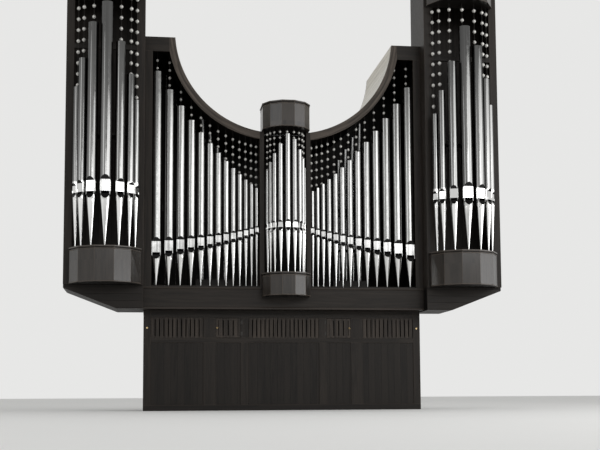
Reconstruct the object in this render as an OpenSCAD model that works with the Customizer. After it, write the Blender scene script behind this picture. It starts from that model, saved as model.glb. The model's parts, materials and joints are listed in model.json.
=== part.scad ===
/* [Lower case] */
// How much the lower case stands back from the main case at each side
lower_inset = 10; // [0:5:150]
// How far the lower case stands behind the face of the main case
lower_setback = 350; // [250:10:380]
// How far the back of the lower case stands in front of the main case's back
lower_back_inset = 100; // [60:10:400]
// Height of the plinth beams
plinth_h = 120; // [80:5:200]
// Height of the rail under the slatted band
mid_rail_h = 100; // [80:5:120]
// Height of the rail over the slatted band
top_rail_h = 160; // [100:5:200]
// Thickness of frame members in the lower case
lower_frame_t = 45; // [35:1:60]
// Width of the lower case's corner posts
corner_post_w = 150; // [100:5:200]
// Thickness of the case boards
board_t = 30; // [20:1:35]
// Thickness of the lower tier's panels
panel_t = 18; // [12:1:24]
// How far the panels and slats lie behind their frame's face
panel_reveal = 14; // [6:1:18]

/* [Slatted band] */
// Height of the slatted band
band_h = 420; // [380:10:440]
// Half the width of the middle slatted panel
mid_panel_half_w = 755; // [600:5:760]
// Width of the posts between the middle panel and the hatches
hatch_post_w = 165; // [120:5:180]
// Width of each hatch opening
hatch_w = 520; // [400:5:540]
// Width of the posts outside the hatches
latch_post_w = 260; // [150:5:280]
// Distance from one slat to the next
slat_pitch = 85; // [70:1:110]
// Gap between two slats
slat_gap = 22; // [8:1:40]
// Thickness of a slat
slat_t = 12; // [8:1:16]
// Height of the battens that the slats are fixed to
batten_h = 32; // [20:1:50]

/* [Hatches] */
// Gap round a hatch leaf
hatch_gap = 6.5; // [6:0.5:10]
// Width of the leaf's frame
leaf_frame_w = 42; // [34:1:50]
// Thickness of a leaf
leaf_t = 24; // [20:1:30]
// Outer radius of the hinge knuckles
knuckle_r = 8; // [7:0.5:8.5]
// Radius of the hinge pins
pin_r = 4; // [3:0.5:5]
// Running clearance of a pin in its knuckle
pin_clearance = 0.1; // [0.05:0.05:0.3]
// Height of a hinge
hinge_h = 72; // [60:1:90]
// Diameter of the turned knobs
knob_d = 32; // [26:1:40]

/* [Impost] */
// Height of the impost beam's underside above the floor
impost_z = 2100; // [2080:10:2400]
// Height of the impost beam
impost_h = 460; // [400:10:560]
// Depth of the impost beam
impost_depth = 420; // [400:5:500]
// Thickness of the board that closes the lower case
floor_t = 40; // [30:1:60]
// Thickness of the toe boards under the flats
toe_board_t = 30; // [20:1:40]

/* [Main case] */
// Width of the main case
case_w = 5920; // [5920:10:6100]
// Depth of the main case
case_depth = 2800; // [2600:10:3200]
// Height of the main case's top above the floor
case_top_z = 7860; // [7800:10:8000]
// Width of the corner stiles
stile_w = 160; // [120:5:165]
// Thickness of stiles and rails in the face of the case
face_t = 60; // [45:1:80]
// Height of the head rails beside the sweeps
head_rail_h = 310; // [250:10:340]
// Width of the level top beside each sweep
sweep_end = 630; // [600:5:680]
// Distance of the sweep's centre from the middle of the case
sweep_x = 180; // [170:5:200]
// Height of the sweep's centre above the case's top
sweep_rise = 150; // [140:5:200]
// Width of the curved rail along the sweep
sweep_rail_w = 160; // [130:5:180]

/* [Flat pipes] */
// Number of pipes in each flat
flat_count = 13; // [9:1:13]
// Distance of the outermost pipe's axis from the stile as a share of its diameter
flat_side_ratio = 0.44; // [0.44:0.01:0.46]
// Diameter of the outermost pipe as a share of the clear width of a flat
flat_share = 0.1; // [0.085:0.001:0.1]
// Ratio of each pipe's diameter to its outer neighbour's
scale_ratio = 0.925; // [0.915:0.001:0.93]
// Distance between pipes as a multiple of the outer one's diameter
flat_pitch_ratio = 1.15; // [1.12:0.01:1.16]
// Gap between the head rail and the top of the outermost left pipe
flat_top_gap = 422; // [400:2:800]
// Semitones by which a flat's pipe is shorter than its outer neighbour
flat_step = 2.04; // [1.98:0.01:2.06]
// Semitones by which the right flat's pipes are shorter than the left one's
flat_shift = 0.85; // [0:0.05:1]
// Foot length of the outermost pipe
flat_foot_h = 693; // [600:1:800]
// How much longer each foot is than its outer neighbour's
foot_step = 38.5; // [20:0.5:45]
// Distance of the pipes' axes behind the face of the case
flat_axis_y = 125; // [120:1:140]
// Wall of the pipe metal
pipe_wall = 4; // [2:0.5:5]

/* [Centre tower] */
// Distance from the axis to the drum's corners
centre_r = 515; // [500:1:525]
// How far the drum's axis lies in front of the face of the case
centre_out = 60; // [40:1:80]
// Height of the base drum
centre_base_h = 480; // [400:10:520]
// How far the base drum hangs below the impost's top
centre_drop = 200; // [120:10:240]
// Height of the cap drum
centre_cap_h = 550; // [400:10:650]
// Width of the tower's two stiles
centre_stile_w = 90; // [70:1:100]
// Depth of the tower's two stiles
centre_stile_depth = 310; // [300:1:380]
// Number of pipes in the tower
centre_count = 9; // [5:2:9]
// Distance of the pipes' arc behind the drum's corners
centre_arc_inset = 125; // [115:1:135]
// Diameter of the middle pipe
centre_d = 115; // [90:1:118]
// Gap between the cap drum and the top of the middle pipe
centre_top_gap = 145; // [105:5:400]
// Foot length of the centre tower's pipes
centre_foot_h = 940; // [800:5:960]

/* [Pedal towers] */
// Width of each tower's case
tower_w = 1600; // [1580:10:1700]
// Depth of each tower's case behind its stiles' face
tower_depth = 1180; // [900:10:1400]
// How far the tower's stiles stand in front of the main case
tower_out = 380; // [300:5:400]
// How far the drums' sides lie inside the width of their case
tower_drum_gap = 90; // [70:1:100]
// How far the drums' axis lies in front of the main case's face
tower_axis_out = 314.5; // [280:0.5:320]
// How far the drums and pipes stand nearer the middle than their case
tower_inset = 40; // [0:5:50]
// Height of a base drum
tower_base_h = 720; // [600:10:800]
// Height of a cap drum
tower_cap_h = 600; // [400:10:700]
// Height of the caps' underside above the floor
tower_cap_z = 8610; // [8590:10:8800]
// Depth of the sloping console under a tower
console_h = 480; // [400:10:480]
// Length of the console's level part
console_level_w = 540; // [300:10:800]
// Thickness of the console's outer edge
console_edge_h = 70; // [50:5:150]
// Diameter of the middle pipe
tower_d = 235; // [200:1:238]
// Ratio of each pipe's diameter to the next longer one's
tower_scale_ratio = 0.9; // [0.88:0.005:0.905]
// Gap between the cap drum and the top of the right tower's middle pipe
tower_top_gap = 570; // [530:10:800]
// Foot length of the pedal towers' pipes
tower_foot_h = 1100; // [900:10:1150]
// Radius of the arc that the pipes stand on
tower_arc_r = 780; // [775:1:800]
// Distance of the middle pipe behind the drum's front
tower_arc_inset = 170; // [160:1:190]

/* [Beaded rods] */
// Diameter of the beads over the flats
flat_bead_d = 60; // [40:1:64]
// Distance between beads over the flats
flat_bead_pitch = 166; // [120:2:220]
// Diameter of the beads in the centre tower
centre_bead_d = 50; // [36:1:54]
// Distance between beads in the centre tower
centre_bead_pitch = 127; // [90:1:180]
// Diameter of the beads in the pedal towers
tower_bead_d = 75; // [50:1:78]
// Distance between beads in the pedal towers
tower_bead_pitch = 230; // [160:5:280]
// Radius of the rods
rod_r = 7; // [5:0.5:9]
// Height of the flats' rack rails above the floor
flat_rack_z = 4300; // [4150:10:4400]
// Height of the centre tower's rack board
centre_rack_z = 4600; // [4300:10:4700]
// Height of the pedal towers' rack boards
tower_rack_z = 5600; // [5200:10:5800]
// Height of the pedal towers' upper cross rails
tower_cross_z = 7540; // [7200:10:7900]

/* [Inner pipes] */
// Number of inner pipes on each side
inner_count = 4; // [3:1:5]
// Gap between the impost beam and the inner chest
inner_chest_gap = 40; // [20:5:600]
// Diameter of the longest inner pipe
inner_d = 110; // [90:1:130]
// Distance of the longest inner pipe from the side of the case
inner_side = 1250; // [1100:5:1350]
// Distance between two inner pipes
inner_pitch = 155; // [140:5:180]
// Gap between the roof and the top of the longest inner pipe
inner_top_gap = 210; // [150:10:600]
// Depth of the inner chest
inner_chest_depth = 280; // [200:10:300]
// Height of the inner chest
inner_chest_h = 200; // [150:10:300]

/* [Hidden] */
$fn = 48;

// Colours of the dark stained wood, the polished metal and the beads
wood = [0.11, 0.075, 0.05];
dark_wood = [0.06, 0.045, 0.035];
facet_wood = [0.19, 0.13, 0.09];
pipe_metal = [0.82, 0.82, 0.8];
bead_metal = [0.62, 0.58, 0.5];
brass = [0.7, 0.55, 0.3];

// Fits
seat = 0.3;
eps = 1;
round_to = 0.1;
function rounded(v) = round(v / round_to) * round_to;

// Small sizes of the joinery
plinth_beam_w = 90;
toe_front_inset = 25;
toe_back_inset = 20;
side_fields = 3;
side_rail_w = 160;
side_field_t = 8;
back_boards = 10;
leaf_slat_inset = 5;
centre_shoulder = 25;
rack_h = 100;
rack_t = 40;

// Drums with twelve equal facets to the circle, of which five show
facet_a = 30;
drum_side_a = 2.5 * facet_a;
drum_front = cos(facet_a / 2);
lip_out = 14;
lip_h = 28;
groove_in = 10;
groove_h = 26;
fillet_out = 6;
fillet_h = 14;

// Levels
plinth_top = plinth_h;
top_rail_z = impost_z - top_rail_h;
band_z = top_rail_z - band_h;
mid_rail_z = band_z - mid_rail_h;
impost_top = impost_z + impost_h;
toe_z = impost_top + toe_board_t;
sweep_z = case_top_z + sweep_rise;
head_z = case_top_z - head_rail_h;
case_hw = case_w / 2;
lower_hw = case_hw - lower_inset;

// Plan, measured back from the face of the main case
lower_back_y = case_depth - lower_back_inset;
tower_hw = tower_w / 2;
tower_drum_hw = tower_hw - tower_drum_gap;
tower_r = tower_drum_hw / drum_front;
drum_reach = tower_axis_out + (tower_r + lip_out) * drum_front;
face_y = drum_reach - (drum_reach + case_depth) / 2;

// The sweep meets the centre tower at the level of the cap's underside
centre_hw = centre_r + centre_shoulder;
centre_in = centre_hw - centre_stile_w;
sweep_r = rounded(sqrt(pow(case_hw - sweep_end - sweep_x, 2) + pow(sweep_rise, 2)));
cap_z = rounded(sweep_z - sqrt(pow(sweep_r, 2) - pow(centre_hw - sweep_x, 2)));
head_x = rounded(sweep_x + sqrt(pow(sweep_r + sweep_rail_w, 2) - pow(sweep_z - head_z, 2)));
centre_toe_z = impost_top - centre_drop + centre_base_h;

// Slatted band: x of the openings' edges on the right
hatch_x0 = mid_panel_half_w + hatch_post_w;
hatch_x1 = hatch_x0 + hatch_w;
outer_panel_x0 = hatch_x1 + latch_post_w;
outer_panel_x1 = lower_hw - corner_post_w;
leaf_x0 = hatch_x0 + hatch_gap;
leaf_x1 = hatch_x1 - hatch_gap;
leaf_z0 = band_z + hatch_gap;
leaf_z1 = top_rail_z - hatch_gap;
knuckle_gap = 1;
hinge_y = lower_setback - knuckle_r - knuckle_gap;
hinge_inset = 85;
plate_t = 3;
plate_w = 46;
knob_rose_t = 4;
knob_rose_d = 1.2 * knob_d;
knob_neck_d = 0.4 * knob_d;

// Pedal tower
tower_x = case_hw + tower_hw;
tower_axis_x = tower_x - tower_inset;
tower_base_z = impost_top;
tower_toe_z = tower_base_z + tower_base_h;
tower_top_z = tower_cap_z + tower_cap_h;
tower_arc_y = -(tower_axis_out + tower_r * drum_front) + tower_arc_inset + tower_arc_r;
tower_offsets = [for (share = [0, 0.387, 0.673, 0.839]) share * tower_drum_hw];
tower_body_h = tower_cap_z - tower_top_gap - tower_foot_h - tower_toe_z;

// Flats and centre tower
flat_span = case_hw - stile_w - centre_hw;
flat_d = flat_share * flat_span;
flat_first_x = case_hw - stile_w - flat_side_ratio * flat_d;
flat_body_h = head_z - flat_top_gap - flat_foot_h - toe_z;
centre_arc_r = centre_r - centre_arc_inset;
centre_body_h = cap_z - centre_top_gap - centre_foot_h - centre_toe_z;

// Lips, mouth and ears as shares of a pipe's diameter
lip_in = 0.28;
lip_height = 1.02;
arch_h = 0.36;
mouth_h = 0.22;
mouth_w = 0.7;
lower_lip_h = 0.55;
ear_x = 0.385;
ear_t = 0.03;
ear_out = 0.08;
ear_below = 0.1;
ear_above = 0.3;
toe_r = 9;

function flat_dia(k) = flat_d * pow(scale_ratio, k);
function flat_x(k) = flat_first_x - flat_pitch_ratio * flat_d * (1 - pow(scale_ratio, k)) / (1 - scale_ratio);
function flat_foot(k) = flat_foot_h + foot_step * k;
function flat_len(k, semitones) = flat_body_h * pow(2, -(flat_step * k + semitones) / 12);
function sweep_under(x, r) = sweep_z - sqrt(pow(r, 2) - pow(x - sweep_x, 2));
// Underside of the face's upper edge at x: the head rail or the curved rail
function edge_under(x) = x > head_x ? head_z : sweep_under(x, sweep_r + sweep_rail_w);
function drum_point(r, a) = [r * sin(a), -r * cos(a)];

// Puts y = 0 of its children on the face of the main case
module on_face() translate([0, face_y, 0]) children();
// Draws its children on the right and again mirrored on the left
module both_sides() {
  children();
  mirror([1, 0, 0]) children();
}
// A box from one corner to the other
module block(from, to) translate(from) cube(to - from);
// A flat outline drawn in X and Z, from y0 back to y1
module slab_xz(y0, y1) translate([0, y1, 0]) rotate([90, 0, 0]) linear_extrude(y1 - y0) children();
// Five facets of a drum in plan, closed at back_y, with its axis at y = -out
module drum_plan(r, out, back_y) {
  polygon(concat(
    [[drum_point(r, -drum_side_a)[0], back_y]],
    [for (a = [-drum_side_a:facet_a:drum_side_a]) drum_point(r, a) + [0, -out]],
    [[drum_point(r, drum_side_a)[0], back_y]]
  ));
}
// A drum h high: a fillet at its foot, another under the groove and a lip over it
module drum(r, out, back_y, h) {
  lip_z = h - lip_h;
  groove_z = lip_z - groove_h;
  linear_extrude(groove_z) drum_plan(r, out, back_y);
  for (z = [0, groove_z - fillet_h])
    translate([0, 0, z]) linear_extrude(fillet_h) drum_plan(r + fillet_out, out, back_y);
  translate([0, 0, groove_z]) linear_extrude(groove_h) drum_plan(r - groove_in, out, back_y);
  translate([0, 0, lip_z]) linear_extrude(lip_h) drum_plan(r + lip_out, out, back_y);
}

// Lower case
module plinth() on_face() color(dark_wood) {
  for (y = [lower_setback, lower_back_y - plinth_beam_w])
    block([-lower_hw, y, 0], [lower_hw, y + plinth_beam_w, plinth_top]);
  both_sides()
    block([lower_hw - plinth_beam_w, lower_setback + plinth_beam_w + seat, 0],
          [lower_hw, lower_back_y - plinth_beam_w - seat, plinth_top]);
}
module lower_rails() on_face() color(wood) {
  for (span = [[mid_rail_z, band_z], [top_rail_z, impost_z]])
    block([-outer_panel_x1, lower_setback, span[0]],
          [outer_panel_x1, lower_setback + lower_frame_t, span[1]]);
}
module lower_posts() on_face() color(wood) both_sides() {
  block([outer_panel_x1, lower_setback, plinth_top],
        [lower_hw, lower_setback + lower_frame_t, impost_z]);
  for (x = [[mid_panel_half_w, hatch_x0], [hatch_x1, outer_panel_x0]])
    for (z = [[plinth_top, mid_rail_z], [band_z, top_rail_z]])
      block([x[0], lower_setback, z[0]], [x[1], lower_setback + lower_frame_t, z[1]]);
}
module lower_panels() on_face() color(dark_wood) {
  y = lower_setback + panel_reveal;
  block([-mid_panel_half_w, y, plinth_top], [mid_panel_half_w, y + panel_t, mid_rail_z]);
  both_sides() for (x = [[hatch_x0, hatch_x1], [outer_panel_x0, outer_panel_x1]])
    block([x[0], y, plinth_top], [x[1], y + panel_t, mid_rail_z]);
}
// Upright slats on two battens, filling the space from x0 to x1
module slats(x0, x1, z0, z1, y) {
  count = floor((x1 - x0) / slat_pitch);
  pitch = (x1 - x0) / count;
  for (i = [0:count - 1])
    block([x0 + i * pitch + slat_gap / 2, y, z0], [x0 + (i + 1) * pitch - slat_gap / 2, y + slat_t, z1]);
  for (z = [z0, z1 - batten_h])
    block([x0, y + slat_t - eps, z], [x1, y + slat_t + slat_t, z + batten_h]);
}
module slat_panels() on_face() color(wood) {
  y = lower_setback + panel_reveal;
  slats(-mid_panel_half_w, mid_panel_half_w, band_z, top_rail_z, y);
  both_sides() slats(outer_panel_x0, outer_panel_x1, band_z, top_rail_z, y);
}
module lower_sides() on_face() color(wood) both_sides()
  block([lower_hw - board_t, lower_setback + lower_frame_t, plinth_top],
        [lower_hw, lower_back_y, impost_z]);
module lower_back() on_face() color(dark_wood)
  block([-lower_hw + board_t, lower_back_y - board_t, plinth_top],
        [lower_hw - board_t, lower_back_y, impost_z]);

// Hatches: a slatted leaf on two hinges at its inner edge
module hatch_leaf() on_face() {
  y = lower_setback;
  color(wood) {
    difference() {
      block([leaf_x0, y, leaf_z0], [leaf_x1, y + leaf_t, leaf_z1]);
      block([leaf_x0 + leaf_frame_w, y - eps, leaf_z0 + leaf_frame_w],
            [leaf_x1 - leaf_frame_w, y + leaf_t + eps, leaf_z1 - leaf_frame_w]);
    }
    inner_x0 = leaf_x0 + leaf_frame_w;
    inner_w = leaf_x1 - leaf_frame_w - inner_x0;
    count = floor(inner_w / slat_pitch);
    pitch = inner_w / count;
    for (i = [0:count - 1])
      block([inner_x0 + i * pitch + slat_gap / 2, y + leaf_slat_inset, leaf_z0 + leaf_frame_w - eps],
            [inner_x0 + (i + 1) * pitch - slat_gap / 2, y + leaf_slat_inset + slat_t,
             leaf_z1 - leaf_frame_w + eps]);
  }
  color(brass) for (z = [leaf_z0 + hinge_inset, leaf_z1 - hinge_inset]) leaf_knuckle(z);
}
// Middle knuckle of a hinge and its plate on the leaf
module leaf_knuckle(z) {
  half = hinge_h / 6 - seat;
  difference() {
    union() {
      translate([hatch_x0, hinge_y, z - half]) cylinder(h = 2 * half, r = knuckle_r);
      block([hatch_x0, lower_setback - plate_t, z - half], [leaf_x0 + eps, lower_setback, z + half]);
      block([leaf_x0, lower_setback - plate_t, z - hinge_h / 2],
            [leaf_x0 + plate_w, lower_setback + eps, z + hinge_h / 2]);
    }
    translate([hatch_x0, hinge_y, z - hinge_h / 2]) cylinder(h = hinge_h, r = pin_r + pin_clearance);
  }
}
module hatch_right() hatch_leaf();
module hatch_left() mirror([1, 0, 0]) hatch_leaf();
module knob() on_face() color(brass)
  translate([leaf_x1 - leaf_frame_w / 2, lower_setback, (leaf_z0 + leaf_z1) / 2]) rotate([90, 0, 0]) {
    cylinder(h = knob_rose_t, d = knob_rose_d);
    cylinder(h = knob_d, d = knob_neck_d);
    translate([0, 0, knob_d]) sphere(d = knob_d);
  }
module hatch_knob_right() knob();
module hatch_knob_left() mirror([1, 0, 0]) knob();
// Outer knuckles, pin and plate of each hinge, fixed to the post
module hatch_hinges() on_face() color(brass) both_sides()
  for (z = [leaf_z0 + hinge_inset, leaf_z1 - hinge_inset]) {
    translate([hatch_x0, hinge_y, z - hinge_h / 2]) cylinder(h = hinge_h, r = pin_r);
    for (end = [-hinge_h / 2, hinge_h / 6]) {
      translate([hatch_x0, hinge_y, z + end]) cylinder(h = hinge_h / 3, r = knuckle_r);
      block([hatch_x0 - 2 * knuckle_r, lower_setback - plate_t, z + end],
            [hatch_x0, lower_setback, z + end + hinge_h / 3]);
    }
    block([hatch_x0 - plate_w, lower_setback - plate_t, z - hinge_h / 2],
          [hatch_x0 - knuckle_r - 2 * knuckle_gap, lower_setback, z + hinge_h / 2]);
  }

// Impost
module impost_beam() on_face() color(wood)
  block([-case_hw, 0, impost_z], [case_hw, impost_depth, impost_top]);
module impost_floor() on_face() color(dark_wood)
  block([-case_hw, impost_depth, impost_z], [case_hw, case_depth, impost_z + floor_t]);
module impost_sides() on_face() color(wood) {
  z = impost_z + floor_t;
  both_sides() block([case_hw - board_t, impost_depth, z], [case_hw, case_depth, impost_top]);
  x = case_hw - board_t - seat;
  block([-x, case_depth - board_t, z], [x, case_depth, impost_top]);
}
module toe_boards() on_face() color(dark_wood) both_sides()
  block([centre_hw, toe_front_inset, impost_top], [case_hw - stile_w, impost_depth - toe_back_inset, toe_z]);

// Main case
module case_stiles() on_face() color(wood) both_sides()
  block([case_hw - stile_w, 0, impost_top], [case_hw, face_t, head_z]);
module centre_stiles() on_face() color(wood) both_sides()
  block([centre_in, 0, impost_top], [centre_hw, centre_stile_depth, cap_z]);
module head_rails() on_face() color(wood) both_sides()
  block([head_x, 0, head_z], [case_hw, face_t, case_top_z]);
// The sweep's circle in X and Z
module sweep_disc(r) translate([sweep_x, sweep_z]) circle(r, $fn = 240);
module curved_rail_right() on_face() color(wood) slab_xz(0, face_t)
  intersection() {
    difference() {
      sweep_disc(sweep_r + sweep_rail_w);
      sweep_disc(sweep_r);
    }
    translate([centre_hw, cap_z - 2 * sweep_rail_w])
      square([head_x - centre_hw, case_top_z - cap_z + 2 * sweep_rail_w]);
  }
module curved_rail_left() mirror([1, 0, 0]) curved_rail_right();
// Space under the roof, t below its outer face
module under_roof(t) difference() {
  translate([centre_hw, cap_z - 2 * board_t])
    square([case_hw - centre_hw, case_top_z - cap_z - t + 2 * board_t]);
  sweep_disc(sweep_r + t);
}
module roof_right() on_face() color(wood) slab_xz(face_t, case_depth - board_t)
  difference() {
    under_roof(0);
    under_roof(board_t);
  }
module roof_left() mirror([1, 0, 0]) roof_right();
module roof_centre() on_face() color(wood)
  block([-centre_hw, centre_stile_depth, cap_z - board_t], [centre_hw, case_depth - board_t, cap_z]);
module case_sides() on_face() color(wood) both_sides()
  difference() {
    block([case_hw - board_t, face_t, impost_top],
          [case_hw, case_depth - board_t, case_top_z - board_t]);
    field_h = (case_top_z - board_t - impost_top - side_rail_w) / side_fields;
    first_y = tower_depth - tower_out + side_rail_w;
    for (i = [0:side_fields - 1]) {
      z = impost_top + side_rail_w + i * field_h;
      block([case_hw - side_field_t, first_y, z],
            [case_hw + eps, case_depth - side_rail_w, z + field_h - side_rail_w]);
    }
  }
// Upright boards that close the back as far as the outside of the roof
module case_back() on_face() color(dark_wood) {
  step = (case_hw - centre_hw) / back_boards;
  both_sides() slab_xz(case_depth - board_t, case_depth) difference() {
    for (i = [0:back_boards - 1])
      translate([centre_hw + i * step + seat, impost_top])
        square([step - 2 * seat, case_top_z - impost_top]);
    sweep_disc(sweep_r);
  }
  block([-centre_hw, case_depth - board_t, impost_top], [centre_hw, case_depth, cap_z]);
}

// Organ pipe with its toe at the origin, foot high to the upper lip's edge: a cone foot, lips flattened
// at the front, a mouth between two ears and an open tube of the sounding length
module organ_pipe(d, foot, body) {
  wall = min(pipe_wall, d / 12);
  languid = foot - mouth_h * d;
  lip_y = -lip_in * d;
  flat_top = foot + lip_height * d;
  difference() {
    rotate_extrude() polygon([[0, 0], [toe_r, 0], [d / 2, languid], [d / 2, foot + body], [0, foot + body]]);
    across(2 * d) polygon([
      [-d, languid - lower_lip_h * d], [-d / 2, languid - lower_lip_h * d], [lip_y, languid],
      [lip_y, flat_top], [-d / 2, flat_top + arch_h * d], [-d, flat_top + arch_h * d]
    ]);
    difference() {
      translate([0, 0, languid]) cylinder(h = body + mouth_h * d + eps, r = d / 2 - wall);
      block([-d, -d, languid - eps], [d, lip_y + wall, flat_top + arch_h * d]);
    }
    block([-mouth_w * d / 2, -d, languid], [mouth_w * d / 2, 0, foot]);
  }
  for (side = [-1, 1]) translate([side * ear_x * d, 0, 0])
    block([-ear_t * d / 2, lip_y - ear_out * d, languid - ear_below * d],
          [ear_t * d / 2, lip_y + wall / 2, foot + ear_above * d]);
}
// A flat outline drawn in Y and Z, extruded w wide about the middle
module across(w) rotate([90, 0, 90]) translate([0, 0, -w / 2]) linear_extrude(w) children();

module flat_row(semitones) on_face() color(pipe_metal)
  for (k = [0:flat_count - 1])
    translate([flat_x(k), flat_axis_y, toe_z]) organ_pipe(flat_dia(k), flat_foot(k), flat_len(k, semitones));
module flat_pipes_right() flat_row(flat_shift);
module flat_pipes_left() mirror([1, 0, 0]) flat_row(0);

// Rods with beads over the pipe tops
bead_gap = 4;
bead_start = 0.6;
flat_bead_start = 0.75;
flat_rod_y = flat_axis_y + flat_d / 2 + flat_bead_d / 2 + bead_gap;
module flat_rods(semitones) on_face() color(bead_metal) {
  difference() {
    for (k = [0:flat_count - 1])
      translate([flat_x(k), flat_rod_y, flat_rack_z])
        cylinder(h = case_top_z - board_t - seat - flat_rack_z, r = rod_r, $fn = 16);
    slab_xz(0, 2 * flat_rod_y) sweep_disc(sweep_r + board_t + seat);
  }
  for (k = [0:flat_count - 1]) {
    first = edge_under(flat_x(k)) - flat_bead_start * flat_bead_pitch;
    last = toe_z + flat_foot(k) + flat_len(k, semitones) - flat_bead_d;
    for (z = [first:-flat_bead_pitch:last])
      translate([flat_x(k), flat_rod_y, z]) sphere(d = flat_bead_d, $fn = 24);
  }
}
module bead_rods_right() flat_rods(flat_shift);
module bead_rods_left() mirror([1, 0, 0]) flat_rods(0);

// Rails and boards behind the pipes that carry the rods, the boards notched round the pipes
rack_land = 9;
notch_gap = 8;
module rack_rails() on_face() color(dark_wood) {
  both_sides() block([centre_hw, flat_rod_y - rack_t / 2, flat_rack_z - rack_h],
                     [case_hw - board_t, flat_rod_y + rack_t / 2, flat_rack_z]);
  translate([0, 0, centre_rack_z - rack_t]) linear_extrude(rack_t) difference() {
    polygon(concat(
      [[-centre_in, rack_t], [-centre_in, 0]],
      [for (j = [1 - len(centre_angles):len(centre_angles) - 1])
        [centre_pipe_x(j), centre_rod_y(j) - rod_r - rack_land]],
      [[centre_in, 0], [centre_in, rack_t]]
    ));
    centre_places() translate([centre_pipe_x($j), centre_pipe_y($j)]) circle(centre_dia($j) / 2 + notch_gap);
  }
  both_sides() {
    x = tower_inset + tower_in;
    translate([tower_axis_x, 0, tower_rack_z - rack_t]) linear_extrude(rack_t) difference() {
      polygon(concat(
        [[2 * tower_inset - x, face_t - tower_out], [2 * tower_inset - x, -tower_out]],
        [for (j = [1 - len(tower_offsets):len(tower_offsets) - 1])
          [tower_pipe_x(j), tower_rod_y(j) - rod_r - rack_land]],
        [[x, -tower_out], [x, face_t - tower_out]]
      ));
      tower_places() translate([tower_pipe_x($j), tower_pipe_y($j)]) circle(tower_dia($j) / 2 + notch_gap);
    }
    block([tower_x - tower_in, -tower_out, tower_cross_z - rack_h],
          [tower_x + tower_in, -tower_out + face_t, tower_cross_z]);
  }
}

// Inner rank that shows between the beads, its longest pipe standing just under the roof
inner_toe_z = impost_top + inner_chest_h;
inner_x = case_hw - inner_side;
inner_y = impost_depth + inner_chest_gap + inner_chest_depth / 2;
inner_top_z = sweep_under(inner_x, sweep_r + board_t) - inner_top_gap;
module inner_chest() on_face() color(dark_wood) both_sides()
  block([inner_x - inner_count * inner_pitch, inner_y - inner_chest_depth / 2, impost_z + floor_t],
        [inner_x + inner_pitch, inner_y + inner_chest_depth / 2, inner_toe_z]);
module inner_pipes() on_face() color(pipe_metal) both_sides()
  for (k = [0:inner_count - 1])
    translate([inner_x - k * inner_pitch, inner_y, inner_toe_z])
      organ_pipe(inner_d * pow(scale_ratio, k), flat_foot_h,
                 (inner_top_z - inner_toe_z - flat_foot_h) * pow(2, -k / 6));

// Centre tower: its places count from 0 in the middle, up to the right and down to the left
centre_arc_back = 20;
centre_arc_y = centre_arc_back - centre_out;
centre_angles = [0, 22, 42, 60, 82];
function pair_step(j) = 2 * abs(j) - (j > 0 ? 1 : 0);
function centre_dia(j) = centre_d * pow(scale_ratio, pair_step(j) / 2);
function centre_len(j) = centre_body_h * pow(2, -pair_step(j) / 12);
function centre_angle(j) = sign(j) * centre_angles[abs(j)];
function centre_pipe_x(j) = centre_arc_r * sin(centre_angle(j));
function centre_pipe_y(j) = centre_arc_y - centre_arc_r * cos(centre_angle(j));
function centre_rod_y(j) = centre_pipe_y(j) + (centre_dia(j) + centre_bead_d) / 2 + bead_gap;
module centre_base() on_face() color(facet_wood) {
  translate([0, 0, impost_top - centre_drop]) drum(centre_r, centre_out, 0, centre_base_h);
  block([-centre_in, -eps, impost_top], [centre_in, centre_stile_depth, centre_toe_z]);
}
module centre_cap() on_face() color(facet_wood)
  translate([0, 0, cap_z]) drum(centre_r, centre_out, centre_stile_depth, centre_cap_h);
module centre_places() for ($j = [-(centre_count - 1) / 2:(centre_count - 1) / 2]) children();
module centre_pipes() on_face() color(pipe_metal) centre_places()
  translate([centre_pipe_x($j), centre_pipe_y($j), centre_toe_z]) rotate([0, 0, centre_angle($j)])
    organ_pipe(centre_dia($j), centre_foot_h, centre_len($j));
module centre_beads() on_face() color(bead_metal) centre_places()
  translate([centre_pipe_x($j), centre_rod_y($j), 0]) {
    top = centre_toe_z + centre_foot_h + centre_len($j);
    translate([0, 0, centre_rack_z]) cylinder(h = cap_z - centre_rack_z, r = rod_r, $fn = 16);
    for (z = [cap_z - bead_start * centre_bead_pitch:-centre_bead_pitch:top - centre_bead_d / 2])
      translate([0, 0, z]) sphere(d = centre_bead_d, $fn = 24);
  }

// Pedal towers: the outer pipe of each pair is a tone longer than the inner
tower_in = tower_hw - stile_w;
function tower_dia(j) = tower_d * pow(tower_scale_ratio, pair_step(j));
function tower_len(j, semitones) = tower_body_h * pow(2, (semitones - 2 * pair_step(j)) / 12);
function tower_pipe_x(j) = sign(j) * tower_offsets[abs(j)];
function tower_pipe_y(j) = tower_arc_y - sqrt(pow(tower_arc_r, 2) - pow(tower_pipe_x(j), 2));
function tower_rod_y(j) = tower_pipe_y(j) + (tower_dia(j) + tower_bead_d) / 2 + bead_gap;
module tower_drums(z, h) both_sides()
  translate([tower_axis_x, 0, z]) drum(tower_r, tower_axis_out, -tower_out, h);
module pedal_bases() on_face() color(facet_wood) tower_drums(tower_base_z, tower_base_h);
module pedal_caps() on_face() color(facet_wood) tower_drums(tower_cap_z, tower_cap_h);
module at_towers() both_sides() translate([tower_x, 0, 0]) children();
module pedal_consoles() on_face() color(dark_wood) both_sides()
  slab_xz(face_t - tower_out, tower_depth - tower_out) polygon([
    [case_hw, impost_top], [case_hw, impost_top - console_h],
    [case_hw + console_level_w, impost_top - console_h],
    [case_hw + tower_w, impost_top - console_edge_h], [case_hw + tower_w, impost_top]
  ]);
module pedal_stiles() on_face() color(wood) at_towers() for (side = [-1, 1])
  translate([side * (tower_hw - stile_w / 2), 0, 0])
    block([-stile_w / 2, -tower_out, tower_base_z],
          [stile_w / 2, face_t - tower_out, tower_top_z - board_t]);
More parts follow.
